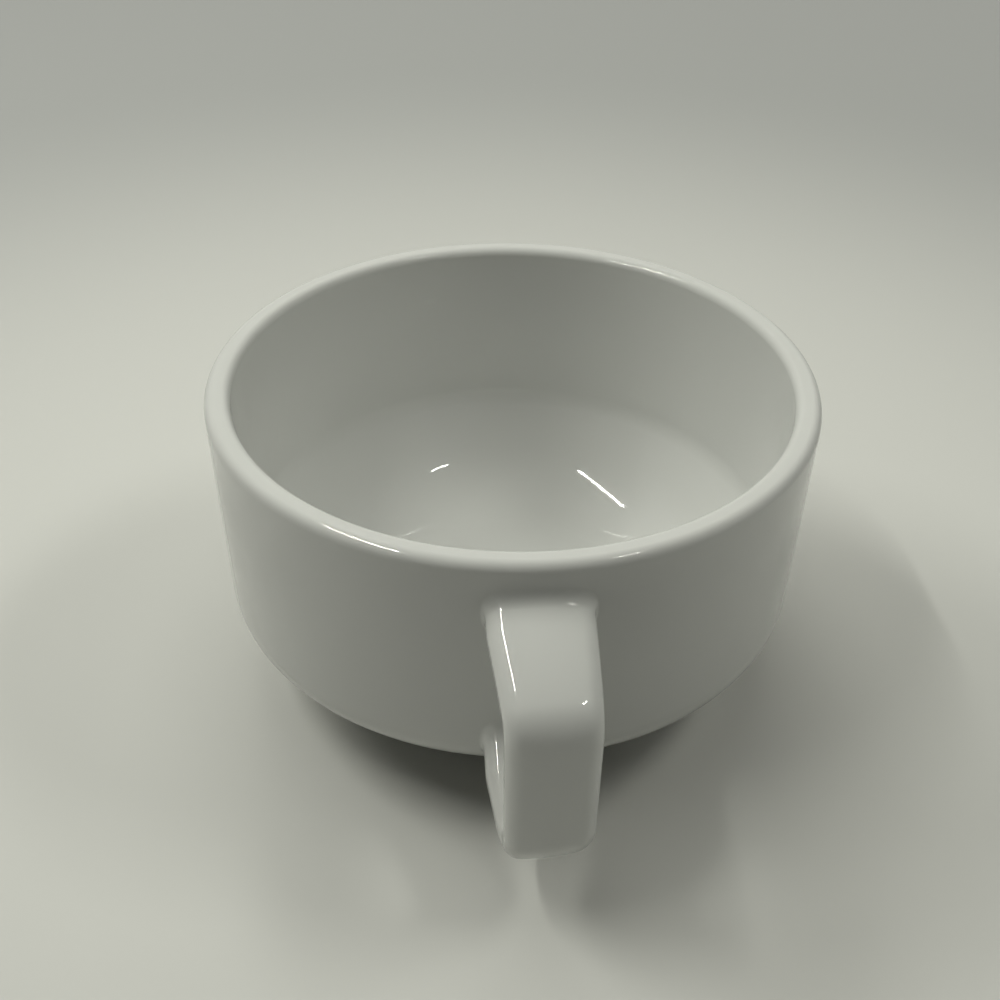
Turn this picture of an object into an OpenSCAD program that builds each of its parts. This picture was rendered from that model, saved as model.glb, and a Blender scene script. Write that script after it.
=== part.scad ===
// Soup mug: a turned clay bowl with a strap handle stuck on with slip, under a white glaze.
// All sizes are in millimetres and are those of the finished, glazed mug.
// The origin is the centre of the foot, on the plane that the mug stands on.
// The handle points along +X.

/* [Bowl] */
// Outside diameter of the rim
rim_d = 110; // [96:1:140]
// Height from the standing face to the rim
bowl_h = 59.5; // [55:0.5:80]
// Thickness of the wall
wall_t = 4.6; // [4:0.1:6]
// Lean of the wall from upright, in degrees
wall_lean = 1.9; // [0.5:0.1:4]
// Rounding of the rim's outer edge
rim_out_round = 1.8; // [1:0.1:2]
// Rounding of the rim's inner edge
rim_in_round = 1.6; // [1:0.1:2]
// Height at which the straight wall turns into the heel
heel_z = 21.1; // [19:0.1:25]
// Radius of the heel, from the wall to the underside
heel_r = 9; // [6:0.5:11]
// Slope of the underside from level, in degrees
under_slope = 35; // [26:1:40]
// Thickness of the floor
floor_t = 4.5; // [4:0.1:6.5]
// Height at which the inside of the wall would meet the slope below it
corner_z = 24.5; // [21:0.1:29]
// Radius of the curve between the inside of the wall and the slope below it
corner_r = 7; // [3:0.5:9]
// Slope of the inside below the wall, from level, in degrees
well_slope = 53; // [44:1:58]
// Radius of the curve between the slope and the floor
dish_r = 22; // [14:0.5:27]

/* [Foot] */
// Outside diameter of the foot ring
foot_d = 71; // [62:1:84]
// Width of the foot ring
foot_w = 4.4; // [3.4:0.1:7]
// Depth of the recess inside the foot ring
recess_h = 3; // [2.5:0.1:4.5]
// Rounding of the standing face's edges
foot_round = 0.8; // [0.4:0.1:1.2]
// Curve between the underside and the foot ring
foot_fillet = 2; // [1:0.1:3]
// Curve inside the recess, from the foot ring to the base
recess_round = 1.4; // [0.8:0.1:2.2]

/* [Handle] */
// Reach from the outside of the rim to the handle's outer face
handle_reach = 19.4; // [17:0.1:30]
// Drop from the rim to the top of the handle, measured at the rim's radius
handle_drop = 6.4; // [5.5:0.1:10]
// Height of the handle, from its top at the rim's radius to its lowest point
handle_h = 41.3; // [36:0.1:44]
// Slope of the upper arm, down and out from the wall, in degrees
upper_slope = 15; // [4:1:20]
// Slope of the lower arm, down and out from the wall, in degrees
lower_slope = 22; // [10:1:26]
// Width of the strap
strap_w = 15.8; // [11:0.1:20]
// Thickness of the strap
strap_t = 6.8; // [5.5:0.1:9]
// Rounding of the strap's long edges
strap_round = 2.8; // [1.5:0.1:3.2]
// Radius inside the upper knee, on the finger's side
upper_knee_in_r = 4.2; // [1:0.1:6]
// Radius inside the lower knee, on the finger's side
lower_knee_in_r = 1.4; // [1:0.1:4]

/* [Joints and glaze] */
// Thickness of the slip between the handle and the wall
slip_t = 0.4; // [0.3:0.05:0.8]
// Reach of the slip collar around each end of the handle
slip_collar = 2; // [1.5:0.1:3]
// Thickness of the slip at the collar's edge on the strap
slip_edge = 0.15; // [0.1:0.05:0.3]
// Thickness of the glaze
glaze_t = 0.3; // [0.2:0.05:0.4]
// Height of the bare clay above the standing face
bare_h = 1.4; // [1:0.1:2]

/* [Hidden] */

// Smoothness of the curves, and of the rounded slices that a hull joins
$fn = 128;
slice_fn = 32;
// Overshoot of a cut beyond the face that it opens
over = 1;
// Flat that is left between two roundings of one edge
edge_flat = 0.2;
// Length of a slice that a hull starts or ends with
slice_t = 0.1;
// Lap of the strap's straight runs into its knees, and how far a knee's skin lies inside theirs
lap = 0.4;
lap_step = 0.06;
// Lowest height at which the underside may meet the foot ring
foot_low = 2.5;
// How far below the end of the straight wall the middle of the handle's lower root may lie
heel_lap = 2;

bowl_colour = "#efe9dc";
handle_colour = "#ece6d8";
slip_colour = "#e3dccb";
glaze_colour = "#f4f5f0";

// Roundings, limited by the wall, ring or strap that carries them
rim_out_e = min(rim_out_round, wall_t / 2 - edge_flat);
rim_in_e = min(rim_in_round, wall_t / 2 - edge_flat);
foot_e = min(foot_round, foot_w / 2 - glaze_t - edge_flat);
recess_e = min(recess_round, recess_h - bare_h);
strap_e = min(strap_round, strap_t / 2 - edge_flat, strap_w / 2 - edge_flat);

// Directions in the bowl's section, as [radius, height]: out of the wall, down it, and from the hollow out into
// its slope
wall_out = [cos(wall_lean), -sin(wall_lean)];
wall_down = [-sin(wall_lean), -cos(wall_lean)];
well_out = [sin(well_slope), -cos(well_slope)];

// Points of the bowl's section, on the finished surface
rim_r = rim_d / 2;
rim_out_c = [rim_r - rim_out_e, bowl_h - rim_out_e];
rim_in_c = [rim_r - wall_t + rim_in_e, bowl_h - rim_in_e];
wall_top = rim_out_c + rim_out_e * wall_out;
wall_end = wall_top + wall_down * (wall_top[1] - heel_z) / cos(wall_lean);
heel_c = wall_end - heel_r * wall_out;
floor_z = recess_h + floor_t;
lip_in = rim_in_c - rim_in_e * wall_out;
corner = [lip_in[0] - (lip_in[1] - corner_z) * tan(wall_lean), corner_z];
corner_half = (90 - well_slope - wall_lean) / 2;
corner_mid = corner_half + wall_lean;
corner_c = corner - corner_r / cos(corner_half) * [cos(corner_mid), -sin(corner_mid)];
dish_c = [corner[0] - (corner_z - floor_z) / tan(well_slope) - dish_r * tan(well_slope / 2), floor_z + dish_r];

// The foot ring, and the underside, which is flatter where its slope would come down below the ring's top
foot_r = foot_d / 2;
foot_in_r = foot_r - foot_w;
foot_to_heel = [heel_c[0] - foot_r, heel_c[1] - foot_low];
slope_limit = acos(heel_r / norm(foot_to_heel)) - atan2(foot_to_heel[0], foot_to_heel[1]);
under_e = min(under_slope, slope_limit);
under_out = [sin(under_e), -cos(under_e)];
heel_end = heel_c + heel_r * under_out;
under_z = heel_end[1] - (heel_end[0] - foot_r) * tan(under_e);
// Centre of the curve between the foot ring and the underside
fillet_c = [foot_r + foot_fillet, under_z + foot_fillet * tan(under_e) - foot_fillet / cos(under_e)];

// The handle: its outer face, and the centres that its knees turn about, as [x, z]
handle_x = rim_r + handle_reach;
handle_top = bowl_h - handle_drop;
handle_bottom = handle_top - handle_h;
upper_r = upper_knee_in_r + strap_t;
lower_r = lower_knee_in_r + strap_t;
upper_c = [handle_x - upper_r,
           handle_top - (handle_reach - upper_r) * tan(upper_slope) - upper_r / cos(upper_slope)];
lower_c = [handle_x - lower_r, handle_bottom + lower_r];

// The lower arm, which is steeper where its slope would miss the wall
root_to_knee = lower_c - [rim_r, heel_z - heel_lap];
slope_to_root = asin((lower_r - strap_t / 2) / norm(root_to_knee)) - atan2(root_to_knee[1], root_to_knee[0]);
lower_e = max(lower_slope, slope_to_root);

// The middles of the arms: where they meet their knees, and their height at the wall
arm_x = rim_r - wall_t;
upper_end = upper_c + (upper_r - strap_t / 2) * [sin(upper_slope), cos(upper_slope)];
lower_end = lower_c - (lower_r - strap_t / 2) * [sin(lower_e), cos(lower_e)];
upper_z = upper_end[1] + (upper_end[0] - rim_r) * tan(upper_slope);
lower_z = lower_end[1] + (lower_end[0] - rim_r) * tan(lower_e);

// Radius of the finished wall or heel at a height
function wall_r(z) = z > wall_end[1]
    ? wall_top[0] - (wall_top[1] - z) * tan(wall_lean)
    : heel_c[0] + sqrt(max(0, heel_r * heel_r - (heel_c[1] - z) * (heel_c[1] - z)));

// Half section of the bowl without its hollow, set in from the finished surface
module outer_section(inset) {
    foot_side = foot_r - inset;
    heel_in = heel_end - inset * under_out;
    under_in = heel_in[1] - (heel_in[0] - foot_side) * tan(under_e);
    polygon([
        [0, 0], [foot_side, 0], [foot_side, under_in], heel_in,
        wall_end - inset * wall_out, wall_top - inset * wall_out,
        [rim_out_c[0], bowl_h - inset], [0, bowl_h - inset]
    ]);
    translate(heel_c) circle(heel_r - inset);
    translate(rim_out_c) circle(rim_out_e - inset);
    difference() {
        polygon([
            [foot_side, fillet_c[1]], fillet_c, fillet_c - (foot_fillet + inset) * under_out,
            [foot_side - foot_fillet, under_in]
        ]);
        translate(fillet_c) circle(foot_fillet + inset);
    }
}

// Half section of the hollow, set out from the finished surface
module hollow_section(inset) {
    dish = dish_r + inset;
    bend = corner_r + inset;
    difference() {
        union() {
            polygon([
                [0, floor_z - inset], [dish_c[0], floor_z - inset], dish_c + dish * well_out,
                corner_c + bend * well_out, corner_c + bend * wall_out, lip_in + inset * wall_out,
                rim_in_c, [rim_in_c[0], bowl_h + over], [0, bowl_h + over]
            ]);
            translate(corner_c) circle(bend);
            translate(dish_c)
                intersection() {
                    circle(dish);
                    polygon([[0, 0], [0, -2 * dish], [2 * dish, -2 * dish], 2 * dish * well_out]);
                }
        }
        translate(rim_in_c) circle(rim_in_e - inset);
    }
}

// Half section of the recess inside the foot ring, set out from the finished surface
module recess_section(inset) {
    side = foot_in_r + inset;
    top = recess_h + inset;
    corner = recess_e + inset;
    square([side, top - corner]);
    square([side - corner, top]);
    translate([side - corner, top - corner]) circle(corner);
}

// What rounds an edge of the standing face, to the right of its centre
module foot_edge_cut() {
    difference() {
        translate([0, -over]) square([foot_e + over, foot_e + over]);
        translate([0, foot_e]) circle(foot_e);
    }
}

// A half section turned about the bowl's axis, with its seam on the side away from the handle
module turned() {
    rotate(180) rotate_extrude() children();
}

// The bowl's outside as a solid, set in from the finished surface
module outer_solid(inset) {
    turned() outer_section(inset);
}

// Section of the strap, width by thickness, set in from the finished surface
module strap_section(inset, thickness = strap_t) {
    corner = strap_e - inset;
    side = strap_w / 2 - strap_e;
    face = thickness / 2 - strap_e;
    square([2 * side, 2 * (face + corner)], center = true);
    square([2 * (side + corner), 2 * face], center = true);
    for (x = [-side, side], y = [-face, face]) translate([x, y]) circle(corner);
}

// A straight run along +X
module along_x(length) {
    rotate([90, 0, 90]) linear_extrude(length) children();
}

// One arm, from inside the wall to the end that meets its knee
module strap_arm(arm_end, slope, inset) {
    length = (arm_end[0] - arm_x) / cos(slope) + lap;
    translate([arm_end[0], 0, arm_end[1]])
        rotate([0, slope, 0])
            translate([lap - length, 0, 0])
                along_x(length) strap_section(inset);
}

// A turn of the strap about a knee's centre, upwards from a starting angle
module strap_knee(centre, radius, from, turn, inset) {
    translate([centre[0], 0, centre[1]])
        rotate([90, 0, 0])
            rotate(from)
                rotate_extrude(angle = turn)
                    translate([radius - strap_t / 2, 0]) rotate(90) strap_section(inset + lap_step);
}

// The whole strap, from inside the wall and back to it
module strap(inset) {
    strap_arm(upper_end, upper_slope, inset);
    strap_knee(upper_c, upper_r, 0, 90 - upper_slope, inset);
    translate([handle_x - strap_t / 2, 0, lower_c[1] - lap])
        linear_extrude(upper_c[1] - lower_c[1] + 2 * lap) rotate(90) strap_section(inset);
    strap_knee(lower_c, lower_r, -90 - lower_e, 90 + lower_e, inset);
    strap_arm(lower_end, lower_e, inset);
}

// The collar of slip around one end of the strap, from inside the wall outwards
module collar(mid_z, slope, inset) {
    wall_x = wall_r(mid_z);
    in_z = mid_z + (rim_r - wall_x + slip_collar) * tan(slope);
    out_z = in_z - 2 * slip_collar * tan(slope);
    thickness = strap_t / cos(slope);
    hull($fn = slice_fn) {
        translate([wall_x - slip_collar, 0, in_z])
            along_x(slip_collar / 2) strap_section(inset - slip_collar, thickness, $fn = slice_fn);
        translate([wall_x + slip_collar - slice_t, 0, out_z])
            along_x(slice_t) strap_section(inset - slip_edge, thickness, $fn = slice_fn);
    }
}

// The collars of both ends
module collars(inset) {
    collar(upper_z, upper_slope, inset);
    collar(lower_z, lower_e, inset);
}

// One slip joint: the layer between the strap's end and the wall, with its collar
module slip_joint(mid_z, slope) {
    color(slip_colour)
        difference() {
            collar(mid_z, slope, glaze_t);
            handle();
            outer_solid(glaze_t);
        }
}

// The clay bowl, turned in one piece with its foot ring
module bowl() {
    color(bowl_colour)
        turned()
            difference() {
                outer_section(glaze_t);
                hollow_section(glaze_t);
                recess_section(glaze_t);
                translate([foot_r - glaze_t - foot_e, 0]) foot_edge_cut();
                translate([foot_in_r + glaze_t + foot_e, 0]) mirror([1, 0]) foot_edge_cut();
            }
}

// What trims the handle's ends to the lean of the wall, with room for the slip
module handle_trim() {
    face_r = wall_top[0] + (slip_t - glaze_t) / cos(wall_lean);
    low_z = handle_bottom - over;
    low_r = face_r - (wall_top[1] - low_z) * tan(wall_lean);
    turned() polygon([[0, low_z], [low_r, low_z], [face_r, wall_top[1]], [0, wall_top[1]]]);
}

// The clay handle
module handle() {
    color(handle_colour)
        difference() {
            strap(glaze_t);
            handle_trim();
        }
}

module upper_slip_joint() {
    slip_joint(upper_z, upper_slope);
}

module lower_slip_joint() {
    slip_joint(lower_z, lower_e);
}

// The glaze inside the bowl, from the floor up to the inner half of the rim
module inside_glaze() {
    color(glaze_colour)
        turned()
            difference() {
                hollow_section(glaze_t);
                hollow_section(0);
            }
}

// The glaze outside the bowl, from the rim down to the bare foot, open where the handle is stuck on
module outside_glaze() {
    color(glaze_colour)
        difference() {
            turned()
                difference() {
                    outer_section(0);
                    outer_section(glaze_t);
                    translate([0, heel_z]) square([rim_in_c[0], bowl_h]);
                    translate([0, -over]) square([foot_r + over, bare_h + over]);
                }
            collars(glaze_t);
        }
}

// The glaze around the handle and its two joints
module handle_glaze() {
    color(glaze_colour)
        difference() {
            union() {
                strap(0);
                collars(0);
            }
            strap(glaze_t);
            collars(glaze_t);
            outer_solid(0);
        }
}

// The glaze on the base, inside the foot ring
module base_glaze() {
    color(glaze_colour)
        turned()
            difference() {
                recess_section(glaze_t);
                recess_section(0);
                translate([0, -over]) square([foot_r, bare_h + over]);
            }
}

bowl();
handle();
upper_slip_joint();
lower_slip_joint();
inside_glaze();
outside_glaze();
handle_glaze();
base_glaze();
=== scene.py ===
"""White porcelain soup mug: a turned bowl and a strap handle under one glossy glaze, on a pale floor.

All sizes are in metres. The origin is the centre of the foot's standing face, and the handle points
along +X.
"""
import math

import bmesh
import bpy
from mathutils import Matrix, Vector


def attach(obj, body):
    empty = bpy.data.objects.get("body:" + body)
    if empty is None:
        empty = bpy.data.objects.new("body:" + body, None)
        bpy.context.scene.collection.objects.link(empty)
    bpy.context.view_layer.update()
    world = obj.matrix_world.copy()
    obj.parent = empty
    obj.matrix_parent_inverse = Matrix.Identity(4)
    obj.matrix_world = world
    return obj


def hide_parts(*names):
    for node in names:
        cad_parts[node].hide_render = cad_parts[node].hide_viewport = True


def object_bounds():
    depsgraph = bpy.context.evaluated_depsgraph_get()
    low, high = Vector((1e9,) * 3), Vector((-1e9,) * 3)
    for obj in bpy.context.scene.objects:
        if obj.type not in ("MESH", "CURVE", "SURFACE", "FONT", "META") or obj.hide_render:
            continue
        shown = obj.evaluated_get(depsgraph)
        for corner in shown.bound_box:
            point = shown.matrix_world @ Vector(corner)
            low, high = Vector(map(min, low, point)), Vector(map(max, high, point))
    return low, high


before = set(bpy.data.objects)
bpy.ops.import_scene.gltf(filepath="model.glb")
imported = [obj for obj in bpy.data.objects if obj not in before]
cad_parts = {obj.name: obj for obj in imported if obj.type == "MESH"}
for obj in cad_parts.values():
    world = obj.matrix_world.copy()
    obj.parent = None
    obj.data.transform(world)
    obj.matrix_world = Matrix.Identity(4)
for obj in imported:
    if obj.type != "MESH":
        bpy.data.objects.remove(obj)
cad_low, cad_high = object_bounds()

MM = 0.001
RIGHT_ANGLE = math.pi / 2

# Sizes that the solids give
RIM_R = -cad_low.x
MUG_H = cad_high.z
HANDLE_X = cad_high.x

# The bowl's section: its wall and rim, the heel below the wall, and the well inside
WALL_T = 4.6 * MM
WALL_LEAN = math.radians(1.9)
RIM_OUT_ROUND = 1.8 * MM
RIM_IN_ROUND = 1.6 * MM
HEEL_Z = 21.1 * MM
HEEL_R = 9.0 * MM
UNDER_SLOPE = math.radians(35)
FLOOR_Z = 7.5 * MM
CORNER_Z = 24.5 * MM
CORNER_R = 7.0 * MM
WELL_SLOPE = math.radians(53)
DISH_R = 22.0 * MM

# The foot ring, which is bare up to a height
FOOT_R = 35.5 * MM
FOOT_W = 4.4 * MM
RECESS_H = 3.0 * MM
FOOT_ROUND = 0.8 * MM
FOOT_FILLET = 2.0 * MM
RECESS_ROUND = 1.4 * MM
BARE_H = 1.4 * MM

# The handle's line: an upper arm that is one long curve, two knees and a straight lower arm
HANDLE_TOP = MUG_H - 6.4 * MM
HANDLE_BOTTOM = HANDLE_TOP - 41.3 * MM
UPPER_ARM_R = 57.0 * MM
KNEE_TILT = math.radians(31.5)
UPPER_KNEE_R = 8.1 * MM
LOWER_KNEE_R = 8.2 * MM
LOWER_SLOPE = math.radians(24.5)

# The strap's section: its thickness, its rounded edges, its crowned outer face and its widths
STRAP_T = 6.8 * MM
STRAP_ROUND = 2.6 * MM
CROWN_R = 30.0 * MM
UPPER_ROOT_W = 16.8 * MM
UPPER_KNEE_W = 14.9 * MM
LOWER_KNEE_W = 14.3 * MM
LOWER_ROOT_W = 16.8 * MM

# How much the strap is pulled askew along its reach, and twisted towards its lower end
SKEW = math.tan(math.radians(3.2))
TWIST = 0.2

# The slip behind the strap, its fillet, the fillet's share at the sides, and the room before the strap
SLIP_T = 0.4 * MM
SLIP_FILLET = 1.9 * MM
SIDE_FLARE = 0.4
ROOT_GAP = 1.5 * MM

# The coat of glaze
GLAZE_T = 0.3 * MM

# Fineness of the turned pieces
TURNS = 192
ARC_STEP = math.radians(5)
WELD = 1e-6
SHARP_ANGLE = math.radians(40)

# Fineness of the strap and its roots
FLAT_POINTS = 10
CORNER_POINTS = 8
ARM_STEPS = 8
KNEE_STEPS = 14
FLARE_STEPS = 8
SEEK_STEPS = 12
SLIP_SHARES = (0.05, 0.35, 0.7)


def polar(angle):
    """Unit direction in a section, as (radius, height)."""
    return Vector((math.cos(angle), math.sin(angle)))


def arc(centre, radius, start, end):
    """Points on an arc from one angle to another, close enough to look round."""
    steps = max(2, math.ceil(abs(end - start) / ARC_STEP))
    return [centre + radius * polar(start + (end - start) * k / steps) for k in range(steps + 1)]


def meeting(corner, radius, first, second):
    """Centre of the curve that rounds a corner of two lines, given the angles at which they face out."""
    half = (first - second) / 2
    return corner - radius / math.cos(half) * polar((first + second) / 2)


# Directions out of the wall and the underside, and the points that the section's arcs turn about
WALL_OUT = polar(-WALL_LEAN)
UNDER_OUT = polar(UNDER_SLOPE - RIGHT_ANGLE)
RIM_OUT_C = Vector((RIM_R - RIM_OUT_ROUND, MUG_H - RIM_OUT_ROUND))
RIM_IN_C = Vector((RIM_R - WALL_T + RIM_IN_ROUND, MUG_H - RIM_IN_ROUND))
WALL_TOP = RIM_OUT_C + RIM_OUT_ROUND * WALL_OUT
WALL_END = Vector((WALL_TOP.x - (WALL_TOP.y - HEEL_Z) * math.tan(WALL_LEAN), HEEL_Z))
HEEL_C = WALL_END - HEEL_R * WALL_OUT
LIP_IN = RIM_IN_C - RIM_IN_ROUND * WALL_OUT
CORNER = Vector((LIP_IN.x - (LIP_IN.y - CORNER_Z) * math.tan(WALL_LEAN), CORNER_Z))
CORNER_C = meeting(CORNER, CORNER_R, -WALL_LEAN, WELL_SLOPE - RIGHT_ANGLE)
DISH_C = meeting(
    Vector((CORNER.x - (CORNER_Z - FLOOR_Z) / math.tan(WELL_SLOPE), FLOOR_Z)),
    DISH_R, WELL_SLOPE - RIGHT_ANGLE, -RIGHT_ANGLE,
)
FOOT_IN_R = FOOT_R - FOOT_W
HEEL_LOW = HEEL_C + HEEL_R * UNDER_OUT
UNDER_Z = HEEL_LOW.y - (HEEL_LOW.x - FOOT_R) * math.tan(UNDER_SLOPE)
FILLET_C = Vector((
    FOOT_R + FOOT_FILLET,
    UNDER_Z + FOOT_FILLET * math.tan(UNDER_SLOPE) - FOOT_FILLET / math.cos(UNDER_SLOPE),
))


def wall_radius(z):
    """Radius of the finished outside at a height, on the straight wall or on the heel."""
    if z > WALL_END.y:
        return WALL_TOP.x - (WALL_TOP.y - z) * math.tan(WALL_LEAN)
    return HEEL_C.x + math.sqrt(max(0.0, HEEL_R ** 2 - (HEEL_C.y - z) ** 2))


def outside_line(inset):
    """The outside from the foot's side up to the top of the rim, set in from the finished surface."""
    side = FOOT_R - inset
    fillet = arc(FILLET_C, FOOT_FILLET + inset, math.pi, RIGHT_ANGLE + UNDER_SLOPE)
    heel = arc(HEEL_C, HEEL_R - inset, UNDER_SLOPE - RIGHT_ANGLE, -WALL_LEAN)
    rim = arc(RIM_OUT_C, RIM_OUT_ROUND - inset, -WALL_LEAN, RIGHT_ANGLE)
    return [Vector((side, BARE_H))] + fillet + heel + rim + [Vector((RIM_IN_C.x, MUG_H - inset))]


def inside_line(inset):
    """The inside from the top of the rim down to the middle of the floor."""
    rim = arc(RIM_IN_C, RIM_IN_ROUND - inset, RIGHT_ANGLE, math.pi - WALL_LEAN)
    corner = arc(CORNER_C, CORNER_R + inset, -WALL_LEAN, WELL_SLOPE - RIGHT_ANGLE)
    dish = arc(DISH_C, DISH_R + inset, WELL_SLOPE - RIGHT_ANGLE, -RIGHT_ANGLE)
    return rim + corner + dish + [Vector((0, FLOOR_Z - inset))]


def base_line(inset):
    """The recess from the middle of the base out and down the foot ring's inner side."""
    corner = Vector((FOOT_IN_R - RECESS_ROUND, RECESS_H - RECESS_ROUND))
    bend = arc(corner, RECESS_ROUND + inset, RIGHT_ANGLE, 0)
    return [Vector((0, RECESS_H + inset))] + bend + [Vector((FOOT_IN_R + inset, BARE_H))]


def foot_line():
    """The bare ring from its inner side over the standing face to its outer side."""
    inner = Vector((FOOT_IN_R + GLAZE_T + FOOT_ROUND, FOOT_ROUND))
    outer = Vector((FOOT_R - GLAZE_T - FOOT_ROUND, FOOT_ROUND))
    return arc(inner, FOOT_ROUND, math.pi, 3 * RIGHT_ANGLE) + arc(outer, FOOT_ROUND, -RIGHT_ANGLE, 0)


def clay_line():
    """The bowl's clay from the middle of the floor over the rim and the foot to the middle of the base."""
    upper = inside_line(GLAZE_T)[::-1] + outside_line(GLAZE_T)[::-1]
    return upper + foot_line()[::-1] + base_line(GLAZE_T)[::-1]


def turning_tree():
    """Geometry Nodes that turn a half section, drawn on the XZ plane, about the Z axis."""
    tree = bpy.data.node_groups.new("turned_clay", "GeometryNodeTree")
    face = tree.interface
    face.new_socket("Half section", in_out="INPUT", socket_type="NodeSocketGeometry")
    face.new_socket("Turns", in_out="INPUT", socket_type="NodeSocketInt")
    face.new_socket("Wheel radius", in_out="INPUT", socket_type="NodeSocketFloat")
    face.new_socket("Weld distance", in_out="INPUT", socket_type="NodeSocketFloat")
    face.new_socket("Finish", in_out="INPUT", socket_type="NodeSocketMaterial")
    face.new_socket("Turned piece", in_out="OUTPUT", socket_type="NodeSocketGeometry")

    def add(node_type, settings=None, links=None):
        """Adds a node: its settings first, then the values or links of its sockets."""
        node = tree.nodes.new(node_type)
        for name, value in (settings or {}).items():
            setattr(node, name, value)
        for name, value in (links or {}).items():
            if isinstance(value, bpy.types.NodeSocket):
                tree.links.new(value, node.inputs[name])
            else:
                node.inputs[name].default_value = value
        return node

    given = add("NodeGroupInput").outputs
    away = add("ShaderNodeMath", {"operation": "MULTIPLY"}, {0: given["Wheel radius"], 1: -1.0})
    shift = add("ShaderNodeCombineXYZ", links={"X": away.outputs[0]})
    line = add("GeometryNodeMeshToCurve", links={"Mesh": given["Half section"]})
    laid = add("GeometryNodeTransform", links={
        "Geometry": line.outputs["Curve"],
        "Translation": shift.outputs[0],
        "Rotation": (RIGHT_ANGLE, 0, 0),
    })
    wheel = add("GeometryNodeCurvePrimitiveCircle", {"mode": "RADIUS"}, {
        "Resolution": given["Turns"],
        "Radius": given["Wheel radius"],
    })
    upright = add("GeometryNodeSetCurveNormal", {"mode": "Z_UP"}, {"Curve": wheel.outputs["Curve"]})
    swept = add("GeometryNodeCurveToMesh", links={
        "Curve": upright.outputs["Curve"],
        "Profile Curve": laid.outputs["Geometry"],
    })
    welded = add("GeometryNodeMergeByDistance", links={
        "Geometry": swept.outputs["Mesh"],
        "Distance": given["Weld distance"],
    })
    solid = add("GeometryNodeRealizeInstances", links={"Geometry": welded.outputs["Geometry"]})
    finished = add("GeometryNodeSetMaterial", links={
        "Geometry": solid.outputs["Geometry"],
        "Material": given["Finish"],
    })
    add("NodeGroupOutput", links={"Turned piece": finished.outputs["Geometry"]})
    return tree


def finish_piece(name, mesh, material, node):
    """Makes a mesh the finished piece that stands for a solid, smooth but for its true edges."""
    shape = bmesh.new()
    shape.from_mesh(mesh)
    bmesh.ops.recalc_face_normals(shape, faces=shape.faces)
    shape.to_mesh(mesh)
    shape.free()
    mesh.shade_smooth()
    mesh.set_sharp_from_angle(angle=SHARP_ANGLE)
    mesh.materials.clear()
    mesh.materials.append(material)
    piece = bpy.data.objects.new(name, mesh)
    bpy.context.scene.collection.objects.link(piece)
    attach(piece, "root")
    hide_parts(node)


def turned(name, line, closed, material, node):
    """A piece turned from a half section, which is closed where it doesn't end on the axis."""
    count = len(line)
    edges = [(k, (k + 1) % count) for k in range(count if closed else count - 1)]
    drawing = bpy.data.meshes.new(name + "_section")
    drawing.from_pydata([(p.x, 0, p.y) for p in line], edges, [])
    blank = bpy.data.objects.new(name + "_blank", drawing)
    bpy.context.scene.collection.objects.link(blank)
    lathe = blank.modifiers.new("lathe", "NODES")
    lathe.node_group = TURNING
    given = {"Turns": TURNS, "Wheel radius": RIM_R, "Weld distance": WELD, "Finish": material}
    for item in TURNING.interface.items_tree:
        if item.in_out == "INPUT" and item.name in given:
            lathe[item.identifier] = given[item.name]
    bpy.context.view_layer.update()
    ready = blank.evaluated_get(bpy.context.evaluated_depsgraph_get())
    mesh = bpy.data.meshes.new_from_object(ready)
    mesh.name = name
    blank.modifiers.remove(lathe)
    bpy.data.objects.remove(blank)
    bpy.data.meshes.remove(drawing)
    finish_piece(name, mesh, material, node)


def loft(name, rings, looped, material, node):
    """A piece skinned over rings of points, either joined end to end or capped at each end."""
    count = len(rings[0])
    points = [p for ring in rings for p in ring]
    bands = len(rings) if looped else len(rings) - 1
    faces = []
    for i in range(bands):
        near = i * count
        far = (i + 1) % len(rings) * count
        for k in range(count):
            after = (k + 1) % count
            faces.append((near + k, near + after, far + after, far + k))
    if not looped:
        last = (len(rings) - 1) * count
        faces.append(tuple(range(count)))
        faces.append(tuple(last + k for k in range(count)))
    mesh = bpy.data.meshes.new(name)
    mesh.from_pydata([tuple(p) for p in points], [], faces)
    mesh.update()
    finish_piece(name, mesh, material, node)


# The ways that the strap faces out where its upper arm ends and along its lower arm
KNEE_WAY = RIGHT_ANGLE - KNEE_TILT
LOWER_WAY = -RIGHT_ANGLE - LOWER_SLOPE

# The points that the arm and the knees bend about, and the ends of the strap's middle line at its roots
ARM_C_X = HANDLE_X - UPPER_KNEE_R - (UPPER_ARM_R - UPPER_KNEE_R) * math.sin(KNEE_TILT)
ARM_C = Vector((ARM_C_X, HANDLE_TOP - math.sqrt(UPPER_ARM_R ** 2 - (RIM_R - ARM_C_X) ** 2)))
UPPER_BEND = ARM_C + (UPPER_ARM_R - UPPER_KNEE_R) * polar(KNEE_WAY)
LOWER_BEND = Vector((HANDLE_X - LOWER_KNEE_R, HANDLE_BOTTOM + LOWER_KNEE_R))
LOWER_END = LOWER_BEND + (LOWER_KNEE_R - STRAP_T / 2) * polar(LOWER_WAY)
ROOT_X = RIM_R + SLIP_FILLET + ROOT_GAP
UPPER_SLOPE = math.asin((ROOT_X - ARM_C.x) / (UPPER_ARM_R - STRAP_T / 2))
UPPER_ROOT = ARM_C + (UPPER_ARM_R - STRAP_T / 2) * polar(RIGHT_ANGLE - UPPER_SLOPE)
LOWER_ROOT = Vector((ROOT_X, LOWER_END.y + (LOWER_END.x - ROOT_X) * math.tan(LOWER_SLOPE)))

# Where along its reach the askew strap crosses the mug's middle plane
SKEW_X = (ROOT_X + HANDLE_X) / 2


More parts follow.
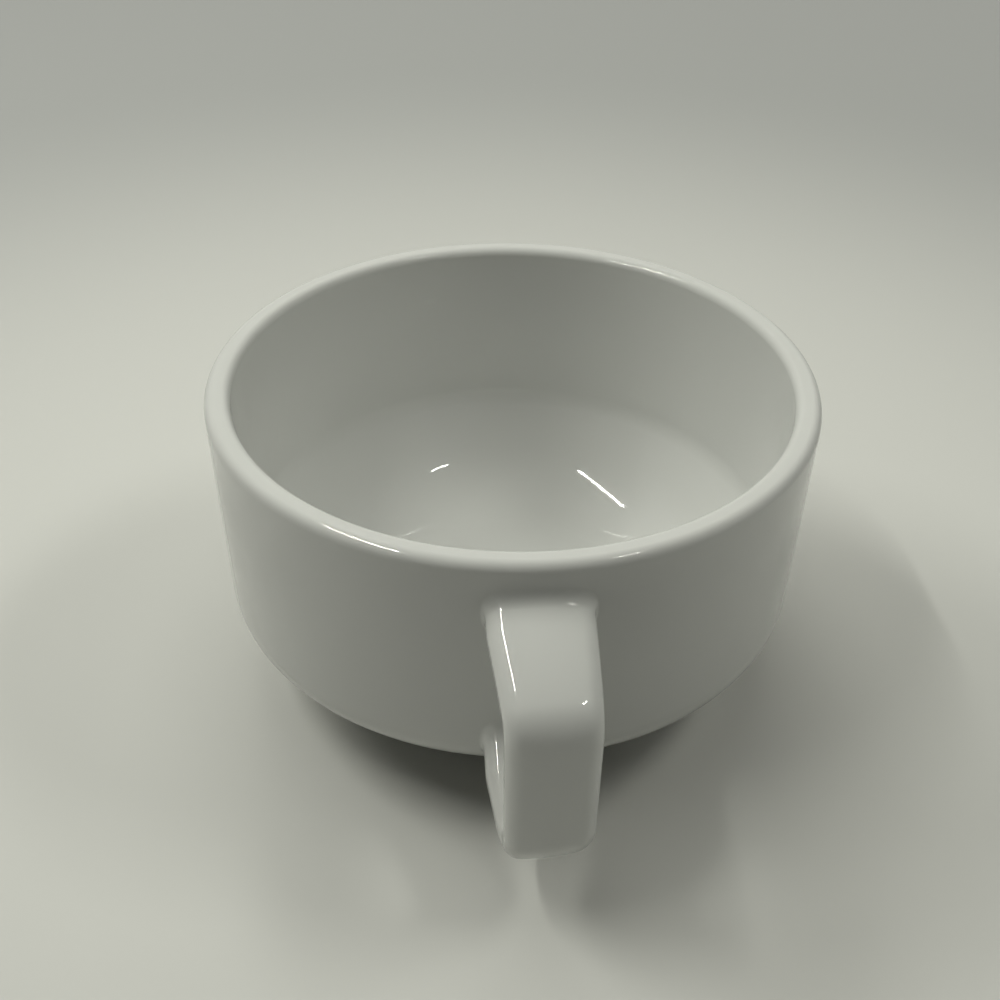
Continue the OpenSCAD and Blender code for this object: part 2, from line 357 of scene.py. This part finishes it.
def strap_outline(width):
    """Points round the strap's section and their ways out, as (across, outward), the outer face crowned."""
    side = width / 2 - STRAP_ROUND
    face = STRAP_T / 2 - STRAP_ROUND
    outline = []
    corners = ((1, 1), (-1, 1), (-1, -1), (1, -1))
    for number, (across, outward) in enumerate(corners):
        centre = Vector((across * side, outward * face))
        start = number * RIGHT_ANGLE
        for k in range(CORNER_POINTS + 1):
            way = polar(start + RIGHT_ANGLE * k / CORNER_POINTS)
            outline.append((centre + STRAP_ROUND * way, way))
        following = corners[(number + 1) % len(corners)]
        gap = Vector((following[0] * side, following[1] * face)) - centre
        end, way = outline[-1]
        for k in range(1, FLAT_POINTS):
            outline.append((end + gap * k / FLAT_POINTS, way))
    for point, _ in outline:
        point.y -= point.x ** 2 / (2 * CROWN_R) * max(0.0, point.y / (STRAP_T / 2))
    return outline


def between(marks, values, at):
    """Value at a place between marks, in straight steps."""
    for k in range(len(marks) - 1):
        if at <= marks[k + 1]:
            share = (at - marks[k]) / (marks[k + 1] - marks[k])
            return values[k] + share * (values[k + 1] - values[k])
    return values[-1]


def strap_stations():
    """Middle, way out and width of the strap from the upper root round to the lower root."""
    line = []
    start = RIGHT_ANGLE - UPPER_SLOPE
    for k in range(ARM_STEPS):
        way = polar(start + (KNEE_WAY - start) * k / ARM_STEPS)
        line.append((ARM_C + (UPPER_ARM_R - STRAP_T / 2) * way, way))
    for k in range(KNEE_STEPS + 1):
        way = polar(KNEE_WAY * (1 - k / KNEE_STEPS))
        line.append((UPPER_BEND + (UPPER_KNEE_R - STRAP_T / 2) * way, way))
    upper_end = len(line)
    for k in range(KNEE_STEPS + 1):
        way = polar(LOWER_WAY * k / KNEE_STEPS)
        line.append((LOWER_BEND + (LOWER_KNEE_R - STRAP_T / 2) * way, way))
    for k in range(1, ARM_STEPS + 1):
        line.append((LOWER_END.lerp(LOWER_ROOT, k / ARM_STEPS), polar(LOWER_WAY)))
    travel = [0.0]
    for (before, _), (after, _) in zip(line, line[1:]):
        travel.append(travel[-1] + (after - before).length)
    upper_knee = travel[upper_end - 1 - KNEE_STEPS // 2]
    lower_knee = travel[upper_end + KNEE_STEPS // 2]
    marks = [0.0, upper_knee, lower_knee, travel[-1]]
    widths = [UPPER_ROOT_W, UPPER_KNEE_W, LOWER_KNEE_W, LOWER_ROOT_W]
    return [(middle, way, between(marks, widths, t)) for (middle, way), t in zip(line, travel)]


def strap_ring(middle, way, width, inset):
    """One ring of the strap's skin, pulled askew and twisted a little as by the hand that stuck it on."""
    reach = (middle.x - ROOT_X) / (HANDLE_X - ROOT_X)
    depth = (HANDLE_TOP - middle.y) / (HANDLE_TOP - HANDLE_BOTTOM)
    ring = []
    for point, out in strap_outline(width):
        p = point - inset * out
        across = p.x + SKEW * (middle.x - SKEW_X)
        rise = TWIST * reach * depth ** 2 * p.x
        ring.append(Vector((middle.x + way.x * p.y, across, middle.y + way.y * p.y + rise)))
    return ring


def root_ring(upper, flare, set_in, standoff, shrink=1.0):
    """A ring that follows the wall round one root, flared out from the strap's outline.

    Each point is sought along the strap's slope until it stands off the wall by the distance given.
    """
    width = UPPER_ROOT_W if upper else LOWER_ROOT_W
    middle = UPPER_ROOT if upper else LOWER_ROOT
    slope = UPPER_SLOPE if upper else LOWER_SLOPE
    sign = 1 if upper else -1
    ring = []
    for point, out in strap_outline(width):
        p = shrink * (point + flare * Vector((SIDE_FLARE * out.x, out.y)) - set_in * out)
        across = p.x + SKEW * (ROOT_X - SKEW_X)
        x = middle.x
        for _ in range(SEEK_STEPS):
            z = middle.y + sign * p.y / math.cos(slope) - (x - middle.x) * math.tan(slope)
            x = math.sqrt(wall_radius(z) ** 2 - across ** 2) + standoff
        ring.append(Vector((x, across, z)))
    return ring


def root_flare(upper, inset):
    """Rings of one root's concave fillet, from the wall out to the strap."""
    rings = []
    for k in range(FLARE_STEPS + 1):
        turn = RIGHT_ANGLE * (1 - k / FLARE_STEPS)
        flare = SLIP_FILLET * (1 - math.cos(turn))
        standoff = SLIP_FILLET - (SLIP_FILLET + inset) * math.sin(turn)
        rings.append(root_ring(upper, flare, inset * math.cos(turn), standoff))
    return rings


def strap_rings(inset):
    """Rings of the strap between its two roots."""
    return [strap_ring(middle, way, width, inset) for middle, way, width in strap_stations()]


def handle_skin(inset):
    """Rings from the upper root's wall to the lower root's wall."""
    return root_flare(True, inset) + strap_rings(inset) + root_flare(False, inset)[::-1]


def clay_handle_rings():
    """The strap without its glaze, cut to the wall with room for the slip."""
    cut = SLIP_T - GLAZE_T
    upper_end = root_ring(True, 0, GLAZE_T, cut)
    lower_end = root_ring(False, 0, GLAZE_T, cut)
    return [upper_end] + strap_rings(GLAZE_T) + [lower_end]


def slip_rings(upper):
    """One slip joint: its face on the wall, its fillet, and the socket that the strap's end sits in."""
    wall_face = [root_ring(upper, SLIP_FILLET, 0, -GLAZE_T, share) for share in SLIP_SHARES]
    cut = SLIP_T - GLAZE_T
    socket = [root_ring(upper, 0, GLAZE_T, cut)]
    socket += [root_ring(upper, 0, GLAZE_T, cut, share) for share in SLIP_SHARES[::-1]]
    return wall_face + root_flare(upper, GLAZE_T) + socket


class Value:
    """A shader socket that Python's operators build Math nodes on."""

    def __init__(self, finish, socket):
        self.finish = finish
        self.socket = socket

    def math(self, operation, first, second=0.0):
        return self.finish.add("ShaderNodeMath", {"operation": operation}, {0: first, 1: second})

    def sine(self):
        return self.math("SINE", self)

    def __add__(self, other):
        return self.math("ADD", self, other)

    def __sub__(self, other):
        return self.math("SUBTRACT", self, other)

    def __rsub__(self, other):
        return self.math("SUBTRACT", other, self)

    def __mul__(self, other):
        return self.math("MULTIPLY", self, other)

    def __truediv__(self, other):
        return self.math("DIVIDE", self, other)

    def __pow__(self, other):
        return self.math("POWER", self, other)

    __radd__ = __add__
    __rmul__ = __mul__


class Finish:
    """A material under construction."""

    def __init__(self, name):
        self.material = bpy.data.materials.new(name)
        self.material.use_nodes = True
        self.tree = self.material.node_tree
        self.surface = self.tree.nodes["Principled BSDF"]
        place = self.tree.nodes.new("ShaderNodeTexCoord")
        self.place = Value(self, place.outputs["Object"])

    def add(self, node_type, settings, inputs, output=0):
        """Adds any node: its settings first, then the values or links of its sockets."""
        node = self.tree.nodes.new(node_type)
        for name, value in settings.items():
            setattr(node, name, value)
        for name, value in inputs.items():
            self.feed(node.inputs[name], value)
        return Value(self, node.outputs[output])

    def feed(self, socket, value):
        """Links a value to a socket, or sets the socket to a plain number or colour."""
        if isinstance(value, Value):
            self.tree.links.new(value.socket, socket)
        else:
            socket.default_value = value

    def paint(self, **sockets):
        """Feeds the surface's sockets and gives the finished material."""
        for name, value in sockets.items():
            self.feed(self.surface.inputs[name.replace("_", " ")], value)
        return self.material

    def noise(self, scale, detail=2.0, roughness=0.5):
        """Noise from 0 to 1 with so many cells to the metre."""
        return self.add("ShaderNodeTexNoise", {}, {
            "Vector": self.place, "Scale": scale, "Detail": detail, "Roughness": roughness,
        })

    def band(self, value, low, high):
        """0 below low, 1 above high, and smooth between."""
        return self.add("ShaderNodeMapRange", {"interpolation_type": "SMOOTHSTEP"}, {
            "Value": value, "From Min": low, "From Max": high,
        })

    def mix(self, share, first, second):
        """The first colour where the share is 0 and the second where it is 1."""
        return self.add("ShaderNodeMix", {"data_type": "RGBA"}, {0: share, 6: first, 7: second}, 2)

    def bump(self, height):
        """The surface's normal under a relief whose height is in metres."""
        return self.add("ShaderNodeBump", {}, {"Height": height, "Strength": 1.0, "Distance": 1.0})

    def axes(self):
        """The place's x, y and z."""
        split = self.add("ShaderNodeSeparateXYZ", {}, {0: self.place})
        return [Value(self, socket) for socket in split.socket.node.outputs]


# The glaze: its whites, its gloss, and how high its waves, dimples and turning rings stand
GLAZE_WHITE = (0.65, 0.655, 0.64, 1)
GLAZE_SHADE = (0.62, 0.625, 0.61, 1)
GLAZE_IOR = 1.52
GLAZE_ROUGHNESS = 0.03
GLAZE_ROUGHNESS_SPREAD = 0.03
WAVE_H = 0.05 * MM
DIMPLE_H = 0.0035 * MM
RING_H = 0.0012 * MM

# The turning rings on the bowl's floor: radius to one radian of their wave, how far they wander in radians,
# and the radii and heights over which they set in and die out
RING_RADIAN = 0.55 * MM
RING_WANDER = 4
RING_EDGE = (42 * MM, 47 * MM)
RING_LOW = (8 * MM, 8.5 * MM)
RING_HIGH = (18 * MM, 24 * MM)


def white_glaze():
    """Glossy white glaze with slow waves, fine dimples and faint turning rings on the floor."""
    glaze = Finish("white_glaze")
    x, y, z = glaze.axes()
    radius = (x * x + y * y) ** 0.5
    within = (1 - glaze.band(radius, *RING_EDGE)) * glaze.band(z, *RING_LOW)
    within = within * (1 - glaze.band(z, *RING_HIGH))
    waves = glaze.noise(scale=75, detail=1.0) * WAVE_H
    dimples = glaze.noise(scale=420) * DIMPLE_H
    rings = glaze.noise(scale=260, detail=0.0) * RING_WANDER + radius / RING_RADIAN
    rings = rings.sine() * within * RING_H
    return glaze.paint(
        Base_Color=glaze.mix(glaze.noise(scale=38, detail=3.0), GLAZE_SHADE, GLAZE_WHITE),
        Roughness=glaze.noise(scale=55, detail=3.0) * GLAZE_ROUGHNESS_SPREAD + GLAZE_ROUGHNESS,
        Normal=glaze.bump(waves + dimples + rings),
        IOR=GLAZE_IOR,
    )


# Bare clay and slip: their colours, their grain, and the wear where the foot rubs on the table
CLAY_PALE = (0.74, 0.71, 0.65, 1)
CLAY_GREY = (0.42, 0.41, 0.39, 1)
SLIP_PALE = (0.70, 0.67, 0.61, 1)
SLIP_GREY = (0.45, 0.44, 0.41, 1)
CLAY_ROUGHNESS = 0.95
GRAIN_H = 0.03 * MM
GRAIN_SHARE = 0.2
RUB_H = 0.5 * MM
RUB_PATCHES = (0.42, 0.62)
RUB_SHARE = 0.3
RUB_POLISH = 0.2


def bare_clay(name, pale, grey):
    """Fired clay without glaze: matt, finely grained, and rubbed a little grey where it stands."""
    clay = Finish(name)
    _, _, z = clay.axes()
    grain = clay.noise(scale=2600, detail=3.0, roughness=0.7)
    patches = clay.band(clay.noise(scale=300, detail=4.0), *RUB_PATCHES)
    rubbed = (1 - clay.band(z, 0.0, RUB_H)) * patches
    return clay.paint(
        Base_Color=clay.mix(rubbed * RUB_SHARE + grain * GRAIN_SHARE, pale, grey),
        Roughness=CLAY_ROUGHNESS - rubbed * RUB_POLISH,
        Normal=clay.bump(grain * GRAIN_H),
    )


# The camera, as it stood to the mug, and the frame that it took
PHOTO_PIXELS = 1000
FOCAL_PIXELS = 1400
SENSOR = 36.0
NEAREST = 10 * MM
CAMERA_AZIMUTH = math.radians(84.5)
CAMERA_REACH = 216.8 * MM
CAMERA_HEIGHT = 189.7 * MM
CAMERA_PITCH = math.radians(36.12)
CAMERA_YAW = math.radians(0.54)
CAMERA_ROLL = math.radians(0.79)


def set_camera():
    """The camera at the photograph's angle."""
    data = bpy.data.cameras.new("photo_camera")
    data.sensor_width = SENSOR
    data.lens = SENSOR * FOCAL_PIXELS / PHOTO_PIXELS
    data.clip_start = NEAREST
    camera = bpy.data.objects.new("photo_camera", data)
    bpy.context.scene.collection.objects.link(camera)
    stand = Vector((
        CAMERA_REACH * math.sin(CAMERA_AZIMUTH),
        -CAMERA_REACH * math.cos(CAMERA_AZIMUTH),
        CAMERA_HEIGHT,
    ))
    heading = Matrix.Rotation(CAMERA_AZIMUTH + CAMERA_YAW, 4, "Z")
    tilt = Matrix.Rotation(RIGHT_ANGLE - CAMERA_PITCH, 4, "X")
    roll = Matrix.Rotation(CAMERA_ROLL, 4, "Z")
    camera.matrix_world = Matrix.Translation(stand) @ heading @ tilt @ roll
    bpy.context.scene.camera = camera


# The floor: its half width, its colours near the mug and farther off, which paint a pool of light round the
# mug (lighter near it, darker farther off), and the reaches over which it goes from one to the other and
# fades into the background
FLOOR_HALF = 3.0
FLOOR_POOL_LIT = (0.62, 0.62, 0.60, 1)
FLOOR_POOL_DIM = (0.40, 0.405, 0.40, 1)
FLOOR_POOL_EDGE = (0.10, 0.34)
FLOOR_FADES = (0.15, 0.8)
FLOOR_ROUGHNESS = 0.6
FLOOR_ROUGHNESS_SPREAD = 0.1
BACKGROUND = (0.36, 0.365, 0.335, 1)
BLACK = (0, 0, 0, 1)


def set_floor():
    """A plain pale floor that fades into the background."""
    mesh = bpy.data.meshes.new("floor")
    corners = [(x * FLOOR_HALF, y * FLOOR_HALF, 0) for x, y in ((-1, -1), (1, -1), (1, 1), (-1, 1))]
    mesh.from_pydata(corners, [], [(0, 1, 2, 3)])
    pale = Finish("pale_floor")
    x, y, _ = pale.axes()
    reach = (x * x + y * y) ** 0.5
    # painted light: the floor is coloured lighter near the mug and darker farther off, as a pool of light
    # round it
    colour = pale.mix(pale.band(reach, *FLOOR_POOL_EDGE), FLOOR_POOL_LIT, FLOOR_POOL_DIM)
    fade = pale.band(reach, *FLOOR_FADES)
    mesh.materials.append(pale.paint(
        Base_Color=pale.mix(fade, colour, BLACK),
        Roughness=pale.noise(scale=900, detail=3.0) * FLOOR_ROUGHNESS_SPREAD + FLOOR_ROUGHNESS,
        Specular_IOR_Level=0.0,
        Emission_Color=pale.mix(fade, BLACK, BACKGROUND),
        Emission_Strength=1.0,
    ))
    floor = bpy.data.objects.new("floor", mesh)
    bpy.context.scene.collection.objects.link(floor)


def set_background():
    """A pale world that the camera and the glaze see, and that lights nothing else."""
    world = bpy.data.worlds.new("room")
    world.use_nodes = True
    tree = world.node_tree
    backdrop = tree.nodes["Background"]
    backdrop.inputs["Color"].default_value = BACKGROUND
    ray = tree.nodes.new("ShaderNodeLightPath").outputs
    seen = ray["Is Camera Ray"]
    for kind in ("Is Glossy Ray", "Is Transmission Ray"):
        either = tree.nodes.new("ShaderNodeMath")
        either.operation = "MAXIMUM"
        tree.links.new(seen, either.inputs[0])
        tree.links.new(ray[kind], either.inputs[1])
        seen = either.outputs[0]
    tree.links.new(seen, backdrop.inputs["Strength"])
    bpy.context.scene.world = world


# Height of the lamps, and the tint of their light
LAMP_HEIGHT = 0.9
LAMP_TINT = (1.0, 1.01, 0.92)


def add_lamp(name, place, size, power, lights=True, gleams=False):
    """A soft lamp aimed at the mug, its place given to the front and right per unit of height.

    One that lights falls on matt surfaces, and one that gleams shows in the glaze.
    """
    data = bpy.data.lights.new(name, "AREA")
    data.shape = "RECTANGLE"
    data.size, data.size_y = size
    data.energy = power
    data.color = LAMP_TINT
    lamp = bpy.data.objects.new(name, data)
    lamp.location = LAMP_HEIGHT * Vector((*place, 1))
    lamp.rotation_euler = lamp.location.to_track_quat("Z", "X").to_euler()
    lamp.visible_camera = False
    lamp.visible_diffuse = lights
    lamp.visible_glossy = gleams
    bpy.context.scene.collection.objects.link(lamp)


def set_light():
    """Soft studio lamps round the mug, and the two tubes that gleam in its glaze."""
    bpy.context.scene.view_settings.view_transform = "Standard"
    add_lamp("left_tube", (0.01, -0.50), (0.02, 0.52), 4.2, lights=False, gleams=True)
    add_lamp("right_tube", (0.4, 0.47), (0.025, 0.13), 0.5, lights=False, gleams=True)
    add_lamp("left_lamp", (0.01, -0.50), (0.02, 0.52), 2.1)
    add_lamp("left_row", (-0.75, -0.62), (0.03, 1.1), 3.1)
    add_lamp("left_side", (-0.35, -0.93), (0.15, 0.6), 3.9)
    add_lamp("right_row", (0.0, 0.78), (0.15, 0.4), 2.5)
    add_lamp("right_window", (-0.5, 1.7), (0.3, 0.9), 2.3)
    add_lamp("ceiling", (-0.15, 0.0), (0.5, 0.5), 1.6)
    add_lamp("back_ceiling", (-0.7, 0.0), (0.5, 0.5), 0.5)
    add_lamp("back_window", (-2.0, 0.0), (0.9, 0.9), 3.4)


TURNING = turning_tree()
GLAZE = white_glaze()
CLAY = bare_clay("bare_clay", CLAY_PALE, CLAY_GREY)
SLIP = bare_clay("dried_slip", SLIP_PALE, SLIP_GREY)

set_camera()
set_floor()
set_background()
set_light()

inside_skin = inside_line(0) + inside_line(GLAZE_T)[::-1]
outside_skin = outside_line(0) + outside_line(GLAZE_T)[::-1]
base_skin = base_line(0) + base_line(GLAZE_T)[::-1]
strap_skin = handle_skin(0) + handle_skin(GLAZE_T)[::-1]

turned("inside_coat", inside_skin, False, GLAZE, "inside_glaze")
turned("outside_coat", outside_skin, True, GLAZE, "outside_glaze")
turned("base_coat", base_skin, False, GLAZE, "base_glaze")
turned("clay_bowl", clay_line(), False, CLAY, "bowl")
loft("handle_coat", strap_skin, True, GLAZE, "handle_glaze")
loft("clay_handle", clay_handle_rings(), False, CLAY, "handle")
loft("upper_slip", slip_rings(True), False, SLIP, "upper_slip_joint")
loft("lower_slip", slip_rings(False), False, SLIP, "lower_slip_joint")
